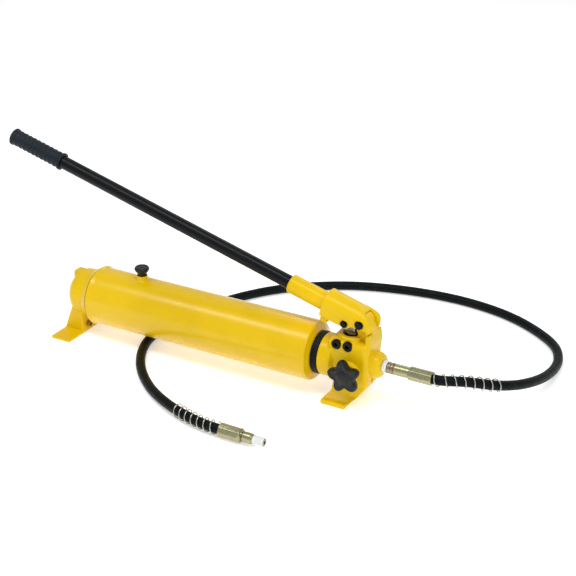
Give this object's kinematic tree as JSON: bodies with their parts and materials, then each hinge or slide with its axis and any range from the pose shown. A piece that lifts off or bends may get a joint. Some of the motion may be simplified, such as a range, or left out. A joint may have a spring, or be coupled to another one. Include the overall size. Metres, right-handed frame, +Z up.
{
  "type": "hydraulic hand pump",
  "caption": "Manual high-pressure hydraulic pump: tubular oil tank on two feet, cast pump head, long hand lever, release knob and a coiled outlet hose.",
  "frame": {"origin": "centre of the underside of the front foot, below the pump head", "axes": "+X along the tank from its rear cover to the pump head and outlet, +Z up, release knob on the -Y side"},
  "size_m": [0.8328, 0.5618, 0.3069],
  "materials": {
    "body_paint": "glossy yellow enamel over a sand-cast surface",
    "tank_paint": "glossy yellow enamel over drawn steel tube",
    "pole_paint": "black gloss paint over steel tube",
    "black_plastic": "moulded black plastic",
    "soft_rubber": "matt black rubber",
    "hose_rubber": "smooth black hose cover",
    "black_steel": "blackened steel",
    "zinc": "pale yellow zinc plate",
    "brass": "turned brass",
    "tape": "white thread-seal tape",
    "steel": "plain machined steel",
    "guard_wire": "galvanised spring wire",
    "ball_steel": "polished bearing steel",
    "chrome": "hard chrome plate"
  },
  "bodies": {
    "frame": {"far_ferrule": "zinc", "filler_boss": "body_paint", "foot_screw": "body_paint", "gland_nut": "black_steel", "head_casting": "body_paint", "hose": "hose_rubber", "hose_end_fitting": "zinc", "hose_end_tape": "tape", "hose_ferrule": "zinc", "hose_guard_far_side": "guard_wire", "hose_guard_pump_side": "guard_wire", "inlet_spring": "steel", "outlet_nipple": "brass", "outlet_spring": "steel", "outlet_tape": "tape", "piston_seal": "soft_rubber", "pivot_pin": "black_steel", "pivot_pin_clip_far": "black_steel", "pivot_pin_clip_near": "black_steel", "rear_cover": "body_paint", "rear_cover_gasket": "soft_rubber", "release_seal": "soft_rubber", "relief_ball": "ball_steel", "relief_plug": "black_steel", "relief_spring": "steel", "suction_strainer": "steel", "suction_tube": "steel", "swivel_collar": "brass", "tank_seal_ring": "soft_rubber", "tank_shell": "tank_paint", "tie_rod": "steel", "tie_rod_nut": "steel", "tie_rod_washer": "steel", "unloading_ball": "ball_steel", "unloading_plug": "black_steel", "unloading_spring": "steel"},
    "lever": {"lever_casting": "body_paint", "handle_pole": "pole_paint", "handle_grip": "soft_rubber", "pole_set_screw": "black_steel", "piston_pin": "black_steel", "piston_pin_clip_far": "black_steel", "piston_pin_clip_near": "black_steel"},
    "piston": {"piston": "chrome"},
    "release_screw": {"release_spindle": "steel", "release_ball": "ball_steel"},
    "release_handwheel": {"release_knob": "black_plastic"},
    "filler_plug": {"filler_cap": "black_plastic", "filler_cap_seal": "soft_rubber"},
    "inlet_valve": {"inlet_ball": "ball_steel"},
    "outlet_valve": {"outlet_ball": "ball_steel"}
  },
  "joints": [
    {"name": "lever_pivot", "type": "hinge", "parent": "frame", "child": "lever", "pos_m": [0.0295, 0, 0.1278], "axis": [0, 1, 0], "range_deg": [0, 40]},
    {"name": "piston_stroke", "type": "slide", "parent": "frame", "child": "piston", "axis": [0, 0, 1], "range_m": [0, 0.0161]},
    {"name": "release_travel", "type": "slide", "parent": "frame", "child": "release_screw", "axis": [0, -1, 0], "range_m": [0, 0.001]},
    {"name": "release_turn", "type": "hinge", "parent": "release_screw", "child": "release_handwheel", "pos_m": [0.0195, -0.043, 0.0547], "axis": [0, -1, 0], "range_deg": [0, 239]},
    {"name": "filler_cap_pull", "type": "slide", "parent": "frame", "child": "filler_plug", "axis": [0, 0, 1], "range_m": [0, 0.02]},
    {"name": "inlet_valve_lift", "type": "slide", "parent": "frame", "child": "inlet_valve", "axis": [0, 0, 1], "range_m": [0, 0.0006]},
    {"name": "outlet_valve_lift", "type": "slide", "parent": "frame", "child": "outlet_valve", "axis": [1, 0, 0], "range_m": [0, 0.0006]}
  ],
  "couplings": [
    {"joint": "piston_stroke", "follows": "lever_pivot", "m_per_rad": 0.023},
    {"joint": "release_travel", "follows": "release_turn", "m_per_rad": 0.00023873}
  ]
}
